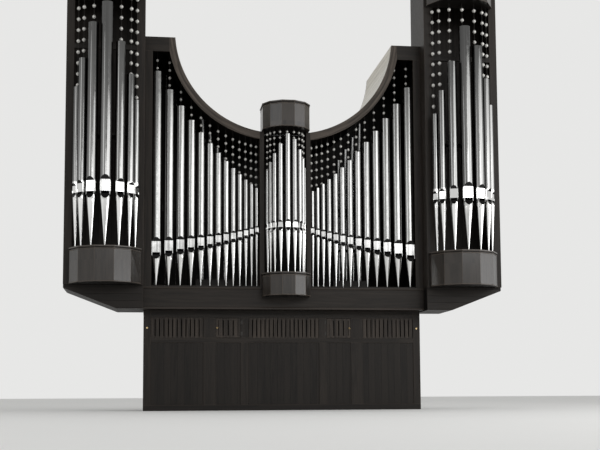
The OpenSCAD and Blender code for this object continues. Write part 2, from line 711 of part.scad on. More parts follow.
module pedal_cases() on_face() color(wood) at_towers() {
  y1 = tower_depth - tower_out;
  for (side = [-1, 1]) translate([side * (tower_hw - board_t / 2), 0, 0])
    block([-board_t / 2, -tower_out + face_t, tower_base_z], [board_t / 2, y1, tower_top_z - board_t]);
  x = tower_hw - board_t - seat;
  block([-x, y1 - board_t, tower_base_z], [x, y1, tower_top_z - board_t]);
}
module pedal_roofs() on_face() color(wood) at_towers()
  block([-tower_hw, -tower_out, tower_top_z - board_t], [tower_hw, tower_depth - tower_out, tower_top_z]);
module tower_places() for ($j = [1 - len(tower_offsets):len(tower_offsets) - 1]) children();
module tower_pipe_row(semitones) translate([tower_axis_x, 0, tower_toe_z]) tower_places()
  translate([tower_pipe_x($j), tower_pipe_y($j), 0]) rotate([0, 0, asin(tower_pipe_x($j) / tower_arc_r)])
    organ_pipe(tower_dia($j), tower_foot_h, tower_len($j, semitones));
module pedal_pipes() on_face() color(pipe_metal) {
  tower_pipe_row(0);
  mirror([1, 0, 0]) tower_pipe_row(1);
}
module tower_rod_row(semitones) translate([tower_axis_x, 0, 0]) tower_places()
  translate([tower_pipe_x($j), tower_rod_y($j), 0]) {
    top = tower_toe_z + tower_foot_h + tower_len($j, semitones);
    translate([0, 0, tower_rack_z]) cylinder(h = tower_cap_z - tower_rack_z, r = rod_r, $fn = 16);
    for (z = [tower_cap_z - bead_start * tower_bead_pitch:-tower_bead_pitch:top - tower_bead_d / 2])
      translate([0, 0, z]) sphere(d = tower_bead_d, $fn = 24);
  }
module pedal_beads() on_face() color(bead_metal) {
  tower_rod_row(0);
  mirror([1, 0, 0]) tower_rod_row(1);
}

plinth();
lower_rails();
lower_posts();
lower_panels();
slat_panels();
lower_sides();
lower_back();
hatch_left();
hatch_right();
hatch_knob_left();
hatch_knob_right();
hatch_hinges();
impost_beam();
impost_floor();
impost_sides();
toe_boards();
case_stiles();
centre_stiles();
head_rails();
curved_rail_left();
curved_rail_right();
roof_left();
roof_right();
roof_centre();
case_sides();
case_back();
rack_rails();
flat_pipes_left();
flat_pipes_right();
bead_rods_left();
bead_rods_right();
inner_chest();
inner_pipes();
centre_base();
centre_cap();
centre_pipes();
centre_beads();
pedal_bases();
pedal_consoles();
pedal_stiles();
pedal_cases();
pedal_caps();
pedal_roofs();
pedal_pipes();
pedal_beads();
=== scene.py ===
"""Looks of a church organ's case and pipes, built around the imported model.

Lengths are metres in the model's own frame: +Z is up, the front faces -Y and the gallery floor is z = 0.
Laid out as an add-on, and run as a script.
"""

import json
import math
from collections import Counter

import bmesh
import bpy
from bpy.props import FloatProperty, FloatVectorProperty, PointerProperty
from mathutils import Matrix, Vector


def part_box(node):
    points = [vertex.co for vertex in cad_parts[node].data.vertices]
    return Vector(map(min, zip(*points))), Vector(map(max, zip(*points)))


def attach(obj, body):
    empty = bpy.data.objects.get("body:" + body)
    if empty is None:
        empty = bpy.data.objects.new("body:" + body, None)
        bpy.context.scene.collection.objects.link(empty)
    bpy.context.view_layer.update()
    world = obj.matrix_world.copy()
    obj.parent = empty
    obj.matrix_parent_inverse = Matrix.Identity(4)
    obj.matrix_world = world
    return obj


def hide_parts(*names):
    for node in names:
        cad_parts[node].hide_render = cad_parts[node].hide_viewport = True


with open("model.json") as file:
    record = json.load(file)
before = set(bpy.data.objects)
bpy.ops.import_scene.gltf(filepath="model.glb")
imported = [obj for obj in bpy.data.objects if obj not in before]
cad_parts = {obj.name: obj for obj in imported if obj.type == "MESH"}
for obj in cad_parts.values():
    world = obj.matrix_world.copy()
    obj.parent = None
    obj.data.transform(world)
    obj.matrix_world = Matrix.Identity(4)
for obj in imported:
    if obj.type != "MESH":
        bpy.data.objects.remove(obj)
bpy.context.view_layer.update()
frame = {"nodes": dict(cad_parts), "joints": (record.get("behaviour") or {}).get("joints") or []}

bl_info = {
    "name": "Organ Case Looks",
    "version": (1, 1, 0),
    "blender": (4, 5, 0),
    "location": "3D View > Sidebar > Organ",
    "description": "Stained oak, tin pipes, beaded rods and a pale studio for an organ case",
    "category": "3D View",
}

NODES = frame["nodes"]

# Points that are nearer than this count as one
WELD = 0.00005

# Edges that turn by more than these are eased on the model's own pieces, and left sharp on new ones
EASED_ANGLE = math.radians(25)
SHARP_ANGLE = math.radians(35)

# The sweep that the curved rails and the roofs follow: its centre and upper radius in X and Z
SWEEP_X = 0.18
SWEEP_Z = 8.01
SWEEP_R = 2.155

# Grain of the oak: how fast the noise runs across it and along it
PORES = (55, 1.6)
BANDS = (9, 0.5)

# The joint between two boards: how far from its middle it is black, and where it ends
JOINT_BLACK = 0.001
JOINT_END = 0.004

# The groove under a drum's lip, painted in shade: how far its middle is below the drum's top, and half its
# height
GROOVE_DOWN = 0.040
GROOVE_HALF = 0.016

# How many ways the sides of the drums can face
FACET_WAYS = 12

# On a pipe, in its own radii: how far above the mouth's floor the upper lip starts, and how high it is
LIP_START = 0.44
LIP_HIGH = 2.04

# The heights between which the tin turns darker towards the top: painted shade
SHADED_HEIGHTS = (4.8, 8.0)

# The imported pipes: the most that their walls measure, and the room left inside them for the black sheet of
# painted shade
PIPE_WALL = 0.004
SHADE_SHEET_GAP = 0.0006

# The black sheet of painted shade goes round a pipe's back, from and to these turns from the way its mouth
# faces, in degrees
SHADE_SHEET_TURNS = (64, 297)

# A bead, in its own radii: the radius of its two collars, and how far they reach from its middle
BEAD_NECK = 0.28
BEAD_REACH = 1.05

# A hinge screw's distance from the edge of its plate that is far from the pin, and from the plate's ends
SCREW_IN = 0.015
SCREW_DOWN = 0.014

# Half the width of the studio floor
FLOOR_HALF = 120.0

# The lamps, by their setting: where each hangs and how wide and high it is. All of them aim at one place.
LAMPS = {
    "key": ((13, -12, 8.5), (22, 6)),
    "side": ((19, -10.5, 4), (13, 3.4)),
    "fill": ((-13, -11, 8.6), (4, 6)),
    "front": ((5.3, -33, 9.8), (20.6, 4.6)),
}
LAMPS_AIM = Vector((0, -1, 4.5))

# Shader maths


class Wire:
    """A socket in a net of nodes. Arithmetic on it adds the nodes that work it out."""

    def __init__(self, net, socket):
        self.net = net
        self.socket = socket

    def _calc(self, operation, *terms):
        """One Math node for values, or one Vector Math node for colours and vectors."""
        plain = all(getattr(t, "socket", None) is None or t.socket.type == "VALUE" for t in terms)
        if plain and not any(isinstance(t, tuple) for t in terms):
            return self.net.node("ShaderNodeMath", {"operation": operation}, dict(enumerate(terms)))
        terms = [(t, t, t) if isinstance(t, (int, float)) else t for t in terms]
        return self.net.node("ShaderNodeVectorMath", {"operation": operation}, dict(enumerate(terms)))

    def __add__(self, other):
        return self._calc("ADD", self, other)

    def __radd__(self, other):
        return self._calc("ADD", other, self)

    def __sub__(self, other):
        return self._calc("SUBTRACT", self, other)

    def __rsub__(self, other):
        return self._calc("SUBTRACT", other, self)

    def __mul__(self, other):
        return self._calc("MULTIPLY", self, other)

    def __rmul__(self, other):
        return self._calc("MULTIPLY", other, self)

    def __truediv__(self, other):
        return self._calc("DIVIDE", self, other)

    def __rtruediv__(self, other):
        return self._calc("DIVIDE", other, self)

    def __pow__(self, other):
        return self._calc("POWER", self, other)

    def __rpow__(self, other):
        return self._calc("POWER", other, self)

    def __abs__(self):
        return self._calc("ABSOLUTE", self)

    def whole(self):
        """The whole number below the value."""
        return self._calc("FLOOR", self)

    def part(self):
        """What is left above the whole number."""
        return self._calc("FRACT", self)

    def or_more(self, other):
        """The larger of two values."""
        return self._calc("MAXIMUM", self, other)


class Net:
    """A tree of nodes that is being filled."""

    def __init__(self, tree):
        self.tree = tree

    def node(self, kind, settings=None, inputs=None, output=0):
        """Adds a node: first its settings, then the values or links of its sockets."""
        node = self.tree.nodes.new(kind)
        for key, value in (settings or {}).items():
            setattr(node, key, value)
        for key, value in (inputs or {}).items():
            self.feed(node.inputs[key], value)
        return Wire(self, node.outputs[output]) if node.outputs else None

    def feed(self, socket, value):
        """Links a wire to a socket, or sets the socket's own value."""
        if isinstance(value, Wire):
            self.tree.links.new(value.socket, socket)
        elif socket.type == "RGBA" and len(value) == 3:
            socket.default_value = (*value, 1)
        else:
            socket.default_value = value

    def all_outputs(self, wire):
        """Every output of the node that a wire comes from."""
        return [Wire(self, socket) for socket in wire.socket.node.outputs]


class Finish(Net):
    """A material being made: its nodes and its Principled shader."""

    def __init__(self, name):
        self.material = bpy.data.materials.new(name)
        self.material.use_nodes = True
        super().__init__(self.material.node_tree)
        self.shader = self.tree.nodes["Principled BSDF"]

    def set(self, **values):
        """Sets the shader's own sockets, such as base_color or roughness."""
        for key, value in values.items():
            self.feed(self.shader.inputs[key.replace("_", " ").title().replace("Ior", "IOR")], value)
        return self.material

    def place(self):
        """Where a point is on its piece, in metres."""
        return self.node("ShaderNodeTexCoord", output="Object")

    def facing(self):
        """The way that a point faces, in the piece's own frame."""
        return self.node("ShaderNodeTexCoord", output="Normal")

    def axes(self, vector):
        """A vector's X, Y and Z as values."""
        return self.all_outputs(self.node("ShaderNodeSeparateXYZ", inputs={0: vector}))

    def vector(self, x, y, z):
        """A vector made of three values."""
        return self.node("ShaderNodeCombineXYZ", inputs={0: x, 1: y, 2: z})

    def angle(self, a, b):
        """The angle whose sine and cosine are as a and b."""
        return self.node("ShaderNodeMath", {"operation": "ARCTAN2"}, {0: a, 1: b})

    def noise(self, at, scale, detail=3.0, rough=0.55, warp=0.0):
        """Cloudy noise from 0 to 1."""
        sizes = {"Vector": at, "Scale": scale, "Detail": detail, "Roughness": rough, "Distortion": warp}
        return self.node("ShaderNodeTexNoise", inputs=sizes, output="Fac")

    def chance(self, at):
        """A steady random value for each whole number."""
        return self.node("ShaderNodeTexWhiteNoise", {"noise_dimensions": "1D"}, {"W": at})

    def steps(self, value, low, high, to_low=0.0, to_high=1.0):
        """Smooth change from to_low to to_high as the value goes from low to high."""
        ends = {"Value": value, "From Min": low, "From Max": high, "To Min": to_low, "To Max": to_high}
        return self.node("ShaderNodeMapRange", {"interpolation_type": "SMOOTHSTEP"}, ends)

    def spread(self, noise, to_low=0.0, to_high=1.0):
        """Smooth change from to_low to to_high over the values that a noise mostly has."""
        return self.steps(noise, 0.3, 0.7, to_low, to_high)

    def mix(self, share, a, b):
        """Colour a, turning into colour b as the share goes from 0 to 1."""
        return self.node("ShaderNodeMix", {"data_type": "RGBA"}, {"Factor": share, 6: a, 7: b}, output=2)

    def bump(self, height, distance, strength=1.0):
        """The way that a point faces on a surface with this height."""
        sizes = {"Height": height, "Distance": distance, "Strength": strength}
        return self.node("ShaderNodeBump", inputs=sizes, output="Normal")


def shade(colour, factor):
    """A colour made darker or lighter."""
    return tuple(min(1.0, c * factor) for c in colour)


# Finishes


def from_sweep(x, z):
    """How far a point is from the sweep's centre, outwards and up."""
    return abs(x) - SWEEP_X, z - SWEEP_Z


def lie_of_grain(f, grain, at, faced):
    """How far a point is across the grain and along it. The grain runs along an axis, bends with the sweep
    ("curve"), or runs from front to back in boards that lie side by side on the sweep ("boards")."""
    (x, y, z), (nx, ny, nz) = at, faced
    if grain == "Z":
        return x * abs(ny) + y * abs(nx), z
    if grain == "X":
        return z * abs(ny) + y * abs(nz), x
    if grain == "Y":
        return z * abs(nx) + x * abs(nz), y
    dx, dz = from_sweep(x, z)
    turned = f.angle(dz, dx) * SWEEP_R
    if grain == "curve":
        return (dx * dx + dz * dz) ** 0.5 + y * 0.7, turned
    return turned, y


def facet_number(f, at, faced):
    """A whole number for each side of a drum, from the way it faces and the metre of height it is in."""
    way = f.angle(faced[0], faced[1]) * (FACET_WAYS / (2 * math.pi))
    return (way + at[2].whole() * 31 + 0.5).whole()


def drum_lip_highlight_and_groove_shade(f, colour, tones, above):
    """A drum's colour, with a painted highlight on its lip and painted shade in the groove, and how much of
    the varnish is left. Above is the height over the groove's middle."""
    low, high = tones
    drum_lip_highlight = f.steps(above, GROOVE_HALF, GROOVE_HALF + 0.01, 0.0, 0.8)
    groove_shade = f.steps(abs(above), GROOVE_HALF, GROOVE_HALF + 0.003, 1.0, 0.0)
    return f.mix(groove_shade * 0.97, f.mix(drum_lip_highlight, colour, shade(high, 1.8)), shade(low, 0.05)), 1 - groove_shade


def faces_inside(at, faced):
    """Over 0 where the swept roof faces the inside of the case, and under 0 where it faces up."""
    dx, dz = from_sweep(at[0], at[2])
    return faced[0] * (at[0] / abs(at[0])) * dx + faced[2] * dz


def oak(name, tones, grain, board_w=0.0, facets=False, gloss=0.45, groove=None, varnish=0.0, inside_shade=None):
    """Dark stained oak: pores and growth bands along the grain, boards of their own tone with dark joints.
    A drum's facets each have their own veneer, with painted shade in the groove round it at the height given,
    a painted highlight on the lip over it and painted shade on their undersides. A swept roof's side that
    faces the inside of the case gets the colour given for it: painted shade."""
    f = Finish(name)
    low, high = tones
    at, faced = f.axes(f.place()), f.axes(f.facing())
    across, along = lie_of_grain(f, grain, at, faced)
    tone, shift = None, 0.0
    if facets or board_w:
        tone = f.chance(facet_number(f, at, faced) if facets else (across / board_w).whole())
        shift = tone * 7
    fine = f.vector(across * PORES[0] + shift, along * PORES[1] + shift, at[0] * 0.2)
    broad = f.vector(across * BANDS[0] + shift, along * BANDS[1] + shift, at[1] * 0.1)
    pores = f.noise(fine, 3.2, detail=5, rough=0.7)
    bands = f.noise(broad, 1.6, detail=2, warp=1.2)
    figure = f.spread(pores * 0.35 + bands * 0.65)
    colour, height = f.mix(figure, low, high), pores
    if tone:
        colour = f.mix(f.steps(tone, 0.0, 1.0, 0.0, 0.45), colour, shade(high, 1.35))
    # Painted shade: the undersides of the drums are near black
    if facets:
        colour = f.mix(f.spread(0 - faced[2], 0.0, 0.85), colour, shade(low, 0.2))
    # Painted highlight on the drum's lip, and painted shade in its groove
    if groove:
        colour, kept = drum_lip_highlight_and_groove_shade(f, colour, tones, at[2] - groove)
        varnish = varnish * kept
    if board_w:
        joint = abs((across / board_w).part() - 0.5) * 2
        line = f.steps(joint, 1 - 2 * JOINT_END / board_w, 1 - 2 * JOINT_BLACK / board_w)
        colour = f.mix(line * 0.85, colour, shade(low, 0.3))
        height = height - line * 4
    # Painted shade: the side of a swept roof that faces the inside of the case is darker
    if inside_shade:
        inner = f.mix(figure, shade(inside_shade, 0.5), inside_shade)
        colour = f.mix(f.steps(faces_inside(at, faced), -0.2, 0.2), colour, inner)
    return f.set(base_color=colour, roughness=f.spread(pores, gloss - 0.06, gloss + 0.12),
                 specular_ior_level=0.2, coat_weight=varnish, coat_roughness=0.16,
                 normal=f.bump(height, 0.0006))


def tin(name, colour, highlight, gloss, side_shade, lips=None):
    """Planed tin: soft streaks and shallow dents, with painted shade high up and on the sides that face the
    neighbours, painted highlight on the feet, whose sides are darker, and on lips between two heights, and
    painted shade on surfaces that slope up or down, such as the arch over the upper lip and the hollow of the
    lower one."""
    f = Finish(name)
    x, y, z = f.axes(f.place())
    nx, _, nz = f.axes(f.facing())
    sideways = abs(nx)
    streaks = f.noise(f.vector(x * 26, y * 26, z * 0.25), 1.0)
    dents = f.noise(f.vector(x * 6, y * 6, z * 1.1), 1.0, detail=1)
    fingered = f.noise(f.place(), 9.0)
    metal = f.mix(f.steps(streaks, 0.35, 0.65), shade(colour, 0.72), shade(colour, 1.2))
    # Painted shade: the tin turns darker towards the top, between the heights given
    metal = f.mix(f.steps(z, *SHADED_HEIGHTS, 0.0, 0.8), metal, shade(colour, 0.3))
    # Painted shade: the sides of each pipe that face its neighbours are darker
    metal = f.mix(f.steps(sideways, 0.66, 0.96, 0.0, side_shade), metal, shade(colour, 0.1))
    # Painted highlight: the downward sloping feet are near white in their middle, with painted shade at their
    # sides
    foot_highlight = f.mix(f.steps(sideways, 0.6, 0.95), highlight, shade(colour, 0.6))
    metal = f.mix(f.steps(0 - nz, 0.015, 0.05), metal, foot_highlight)
    # Painted highlight: a tower's lips between two heights are near white
    if lips:
        low, high = lips
        tin_lip_highlight = f.steps(z, low - 0.004, low) * f.steps(z, high - 0.03, high, 1.0, 0.0)
        metal = f.mix(tin_lip_highlight, metal, f.mix(streaks, shade(highlight, 0.7), shade(highlight, 0.9)))
    # Painted shade: surfaces that slope up or down, such as the arch over the upper lip and the hollow of the
    # lower one, are near black
    metal = f.mix(f.steps(abs(nz), 0.24, 0.34, 0.0, 0.97), metal, shade(colour, 0.012))
    return f.set(base_color=metal, metallic=1.0, roughness=f.spread(fingered, gloss - 0.03, gloss + 0.07),
                 normal=f.bump(dents * 0.5 + streaks, 0.0012, 0.5))


def shade_sheet_finish(name, colour):
    """A dull black sheet of painted shade inside a pipe."""
    f = Finish(name)
    dust = f.mix(f.noise(f.place(), 60.0), shade(colour, 0.5), colour)
    return f.set(base_color=dust, roughness=0.95, specular_ior_level=0.05)


def silver_leaf(name, colour):
    """Turned beads with rubbed silver leaf over a grey ground."""
    f = Finish(name)
    wear = f.noise(f.place(), 38.0, detail=4)
    rubbed = f.mix(f.steps(wear, 0.4, 0.75), colour, shade(colour, 0.6))
    return f.set(base_color=rubbed, metallic=0.3, roughness=f.spread(wear, 0.3, 0.5),
                 normal=f.bump(wear, 0.0004))


def iron(name, colour):
    """Blackened iron with a little bare metal where it is rubbed."""
    f = Finish(name)
    wear = f.noise(f.place(), 90.0, detail=4)
    bare = f.mix(f.steps(wear, 0.55, 0.8), colour, shade(colour, 2.2))
    return f.set(base_color=bare, metallic=0.8, roughness=f.spread(wear, 0.38, 0.6),
                 normal=f.bump(wear, 0.0003))


def brass(name, colour):
    """Hand-polished brass that has darkened in patches."""
    f = Finish(name)
    rubbed = f.noise(f.place(), 120.0, detail=4)
    metal = f.mix(f.spread(rubbed), shade(colour, 0.6), colour)
    return f.set(base_color=metal, metallic=1.0, roughness=f.spread(rubbed, 0.22, 0.4))


def studio_paint(name, colour):
    """Matt floor paint with faint roller clouds."""
    f = Finish(name)
    clouds = f.noise(f.place(), 0.4, detail=2)
    paint = f.mix(clouds, shade(colour, 0.98), colour)
    return f.set(base_color=paint, roughness=0.85, specular_ior_level=0.2)


# Dressing the model's own pieces


def dress(material, *names, edge=0.0, wear_and_highlight=None):
    """Gives nodes their finish, and soft edges with a lighter finish, partly wear and partly painted
    highlight, where edge says how wide.
    """
    for name in names:
        node = NODES[name]
        node.data.materials.clear()
        node.data.materials.append(material)
        if edge:
            node.data.materials.append(wear_and_highlight or material)
            join = node.modifiers.new("Joined", "WELD")
            join.merge_threshold = WELD
            soft = node.modifiers.new("Soft edges", "BEVEL")
            soft.width = edge
            soft.segments = 2
            soft.limit_method = "ANGLE"
            soft.angle_limit = EASED_ANGLE
            soft.material = 1
            soft.harden_normals = False


# Making new pieces


def add_piece(name, shape, finishes, body="case"):
    """Makes a piece of a finished shape and fixes it to a body of the model."""
    mesh = bpy.data.meshes.new(name)
    shape.to_mesh(mesh)
    shape.free()
    for finish in finishes:
        mesh.materials.append(finish)
    mesh.shade_smooth()
    mesh.set_sharp_from_angle(angle=SHARP_ANGLE)
    piece = bpy.data.objects.new(name, mesh)
    bpy.context.collection.objects.link(piece)
    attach(piece, body)
    return piece


def turn(shape, profile, place, segments=20, finish=0):
    """Turns a profile of (radius, height) points about the Z axis of place and closes its ends."""
    rings = []
    for radius, height in profile:
        angles = (2 * math.pi * i / segments for i in range(segments))
        rings.append([shape.verts.new(place @ Vector((radius * math.cos(a), radius * math.sin(a), height)))
                      for a in angles])
    faces = [shape.faces.new((low[i - 1], low[i], high[i], high[i - 1]))
             for low, high in zip(rings, rings[1:]) for i in range(segments)]
    faces += [shape.faces.new(reversed(rings[0])), shape.faces.new(rings[-1])]
    for face in faces:
        face.material_index = finish


def out_of_front(x, y, z):
    """A place on the front whose own Z axis points out of it."""
    return Matrix.Translation((x, y, z)) @ Matrix.Rotation(math.pi / 2, 4, "X")


def run(shape, outline, start, end, out, up):
    """Runs a moulding from start to end. Its outline's points are (out, up) steps from that line."""
    ends = [[shape.verts.new(at + out * o + up * u) for o, u in outline] for at in (start, end)]
    count = len(outline)
    for i in range(count):
        shape.faces.new((ends[0][i - 1], ends[0][i], ends[1][i], ends[1][i - 1]))
    shape.faces.new(ends[0])
    shape.faces.new(reversed(ends[1]))


def ovolo(out, high):
    """Outline of a moulding: a square fillet with a quarter round over it, set a little back."""
    fillet, round_out, steps = high * 0.3, out * 0.85, 6
    angles = (math.pi / 2 * i / steps for i in range(1, steps + 1))
    curve = [(round_out * math.cos(a), fillet + (high - fillet) * math.sin(a)) for a in angles]
    return [(0, 0), (out, 0), (out, fillet), (round_out, fillet), *curve]


# Measuring the model's own pieces


def solids_of(name):
    """The points of each solid in a node, from left to right."""
    shape = bmesh.new()
    shape.from_mesh(NODES[name].data)
    bmesh.ops.remove_doubles(shape, verts=shape.verts, dist=WELD)
    waiting = dict.fromkeys(shape.verts)
    solids = []
    while waiting:
        reached = [waiting.popitem()[0]]
        for vert in reached:
            for edge in vert.link_edges:
                other = edge.other_vert(vert)
                if other in waiting:
                    del waiting[other]
                    reached.append(other)
        solids.append([vert.co.copy() for vert in reached])
    shape.free()
    return sorted(solids, key=lambda points: sum(p.x for p in points) / len(points))


def box_of(points):
    """The lowest and the highest corner of the box round some points."""
    return [Vector(pick(p[i] for p in points) for i in range(3)) for pick in (min, max)]


def rod_and_beads(points):
    """A beaded rod's axis, its two ends, the radius of its beads and their heights. Points that are nearly as
    far out as any belong to a bead's middle, and gaps over a radius between them part the beads."""
    low, high = box_of(points)
    axis = ((low + high) / 2).to_2d()
    widest = max((p.to_2d() - axis).length for p in points)
    equators = sorted(p.z for p in points if (p.to_2d() - axis).length > widest * 0.98)
    groups = []
    for z in equators:
        if groups and z - groups[-1][-1] < widest:
            groups[-1].append(z)
        else:
            groups.append([z])
    return axis, (low.z, high.z), widest, [(group[0] + group[-1]) / 2 for group in groups]


def bead_profile(radius, bore):
    """A turned ball between two small collars."""
    neck, reach = radius * BEAD_NECK, radius * BEAD_REACH
    angles = [math.radians(a) for a in range(-65, 66, 13)]
    ball = [(radius * math.cos(a), radius * math.sin(a)) for a in angles]
    low, high = ball[0][1], ball[-1][1]
    return [(bore, -reach), (neck, -reach), (neck, low), *ball, (neck, high), (neck, reach), (bore, reach)]


def mouth_of(points):
    """A pipe's axis, its radius, the way that its mouth faces and the height of the mouth's floor. The rim is
    its highest ring, the ears stand out past that ring, and the floor is the level with the most points."""
    top = max(p.z for p in points)
    rim = [p.to_2d() for p in points if p.z > top - 0.0005]
    axis = Vector((min(p[i] for p in rim) + max(p[i] for p in rim)) / 2 for i in range(2))
    radius = max((p - axis).length for p in rim)
    ears = [p.to_2d() - axis for p in points if (p.to_2d() - axis).length > radius * 1.05]
    levels = Counter(round(p.z, 4) for p in points if p.z < top - radius)
    return axis, radius, sum(ears, Vector((0, 0))).normalized(), levels.most_common(1)[0][0]


# Settings


def setting(name, description, default, **limits):
    return FloatProperty(name=name, description=description, default=default, **limits)


def length_setting(name, description, metres, low, high):
    return setting(name, description, metres, min=low, max=high, unit="LENGTH")


def angle_setting(name, description, degrees):
    return setting(name, description, math.radians(degrees), subtype="ANGLE")


def power_setting(name, description, watts):
    return setting(name, description, watts, min=0, unit="POWER")


def colour_setting(name, description, default):
    return FloatVectorProperty(name=name, description=description, subtype="COLOR", size=3, min=0, max=1,
                               default=default)


class OrganFinishSettings(bpy.types.PropertyGroup):
    """Colours of the case, the pipes and the fittings."""

    case_dark: colour_setting("Case, dark grain", "Stain in the pores of the case", (0.0085, 0.0068, 0.0055))
    case_light: colour_setting("Case, light grain", "Stain between the pores", (0.022, 0.0174, 0.014))
    drum_dark: colour_setting("Drums, dark grain", "Dark grain of their veneer", (0.0050, 0.0040, 0.0033))
    drum_light: colour_setting("Drums, light grain", "Light grain of their veneer", (0.0290, 0.0234, 0.0190))
    rail_light: colour_setting("Curved rails", "Light grain of the curved rails", (0.095, 0.077, 0.063))
    # Painted light: the roofs' wood is made pale for the light that falls on their tops
    lit_roof_dark: colour_setting("Roofs, dark grain", "Dark grain of their raw wood", (0.64, 0.61, 0.55))
    lit_roof_light: colour_setting("Roofs, light grain", "Light grain of their raw wood", (0.82, 0.79, 0.72))
    pipe_tin: colour_setting("Pipes", "Planed tin of the pipes", (0.32, 0.32, 0.315))
    # Painted highlight: the near white of the pipes' feet and lips
    pipe_highlight: colour_setting("Feet and lips", "Burnished tin of the feet and lips", (0.90, 0.90, 0.89))
    # Painted shade: the black of the sheets inside the pipes
    throat_shade: colour_setting("Throats", "Black inside of the pipes", (0.004, 0.004, 0.004))
    bead_silver: colour_setting("Beads", "Silver leaf of the beads", (0.62, 0.61, 0.58))
    rod_iron: colour_setting("Rods and hinges", "Their blackened iron", (0.035, 0.033, 0.031))
    knob_brass: colour_setting("Knobs", "Brass of the knobs and key plates", (0.60, 0.45, 0.24))


class OrganJoinerySettings(bpy.types.PropertyGroup):
    """Sizes of the joiner's details."""

    edge: length_setting("Edges", "How far the edges of the frame are eased", 0.004, 0.001, 0.01)
    board: length_setting("Boards", "Width of the boards in the sides", 0.14, 0.08, 0.3)
    rod: length_setting("Rods", "Radius of the iron rods that carry the beads", 0.004, 0.002, 0.007)
    moulding_out: length_setting("Moulding, depth", "How far the mouldings stand proud", 0.022, 0.005, 0.04)
    moulding_high: length_setting("Moulding, height", "Height of the mouldings", 0.045, 0.01, 0.08)
    screw: length_setting("Screws", "Radius of the hinges' screw heads", 0.0045, 0.003, 0.008)
    key_plate: length_setting("Key plates", "Radius of the key plates on the corner posts", 0.021, 0.01, 0.04)


class OrganStageSettings(bpy.types.PropertyGroup):
    """Camera, lights and floor."""

    camera_at: FloatVectorProperty(name="Camera", description="Where the camera stands", size=3,
                                   subtype="TRANSLATION", default=(-2.83, -24.05, 0.32))
    heading: angle_setting("Heading", "Turn of the camera to the right", 7.70)
    tilt: angle_setting("Tilt", "Tilt of the camera upwards", 5.61)
    roll: angle_setting("Roll", "Roll of the camera", -0.29)
    lens: setting("Lens", "Focal length in millimetres", 67.08, min=20, max=200)
    shift: setting("Shift", "How far the picture is moved up, in its own widths", 0.10, min=-1, max=1)
    backdrop: setting("Backdrop", "Brightness of the pale backdrop", 0.80, min=0, max=1)
    ambient: setting("Ambient", "Light that the surroundings give", 0.60, min=0, max=2)
    key: power_setting("Key light", "Power of the light at the front right", 1080)
    side: power_setting("Side light", "Power of the low light at the right", 555)
    fill: power_setting("Fill light", "Power of the light at the front left", 150)
    front: power_setting("Front light", "Power of the high light behind the camera", 780)
    floor: colour_setting("Floor", "Paint of the studio floor", (0.80, 0.80, 0.79))


# Operators


class ORGAN_OT_case(bpy.types.Operator):
    """Dress the frame, panels and boards in dark stained oak, and the curved roofs in pale wood whose
    paleness is partly painted light
    """

    bl_idname = "organ.case"
    bl_label = "Dress the Case"

    def execute(self, context):
        colours, sizes = context.scene.organ_finish, context.scene.organ_joinery
        dark, light = tones = (tuple(colours.case_dark), tuple(colours.case_light))
        # Painted shade: a darker copy of the case's oak, for the back, the inside and other parts in shade
        shaded_tones = (shade(dark, 0.6), shade(light, 0.6))
        lit_roof = (tuple(colours.lit_roof_dark), tuple(colours.lit_roof_light))
        # Partly wear, partly painted highlight: the eased edges of the case are lighter
        wear_and_highlight = oak("oak_worn_edge", (shade(light, 1.2), shade(light, 2.2)), "Z")
        slats = oak("oak_slats", (shade(dark, 1.4), shade(light, 2.4)), "Z")
        eased = {"edge": sizes.edge, "wear_and_highlight": wear_and_highlight}
        dress(oak("oak_upright", tones, "Z"), "lower_posts", "case_stiles", "centre_stiles", "pedal_stiles",
              **eased)
        dress(slats, "slat_panels", "hatch_left", "hatch_right", **eased)
        dress(oak("oak_level", tones, "X"), "lower_rails", "impost_beam", "head_rails", **eased)
        dress(oak("oak_side_boards", tones, "Z", board_w=sizes.board), "lower_sides", "case_sides",
              "impost_sides", "pedal_cases", **eased)
        dress(oak("oak_deep_boards", shaded_tones, "Z", board_w=sizes.board), "lower_panels", "lower_back",
              "case_back", **eased)
        dress(oak("oak_deep_level", shaded_tones, "X"), "plinth", "toe_boards", "rack_rails", "inner_chest",
              "impost_floor", **eased)
        dress(oak("oak_consoles", shaded_tones, "X", board_w=sizes.board), "pedal_consoles", **eased)
        # Pale wood that is partly painted light, with painted shade on its inner side
        dress(oak("raw_roof_boards", lit_roof, "boards", board_w=sizes.board, gloss=0.7, inside_shade=shaded_tones[1]),
              "roof_left", "roof_right")
        dress(oak("oak_flat_roofs", shaded_tones, "Y", board_w=sizes.board), "roof_centre", "pedal_roofs")
        return {"FINISHED"}


class ORGAN_OT_drums(bpy.types.Operator):
    """Veneer the drums of the three towers and bend the grain of the curved rails"""

    bl_idname = "organ.drums"
    bl_label = "Dress Drums and Curved Rails"

    def execute(self, context):
        colours, sizes = context.scene.organ_finish, context.scene.organ_joinery
        dark, light = tones = (tuple(colours.drum_dark), tuple(colours.drum_light))
        # Partly wear, partly painted highlight: the eased edges of the veneer are much lighter
        wear_and_highlight = oak("veneer_worn_edge", (shade(light, 2), shade(light, 4)), "Z")
        eased = {"edge": sizes.edge, "wear_and_highlight": wear_and_highlight}
        for name in ("centre_base", "centre_cap", "pedal_bases", "pedal_caps"):
            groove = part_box(name)[1].z - GROOVE_DOWN
            veneer = oak("oak_veneer_" + name, tones, "Z", facets=True, groove=groove, varnish=0.6)
            dress(veneer, name, **eased)
        rail = (shade(dark, 2.2), tuple(colours.rail_light))
        dress(oak("oak_bent", rail, "curve"), "curved_rail_left", "curved_rail_right", **eased)
        return {"FINISHED"}


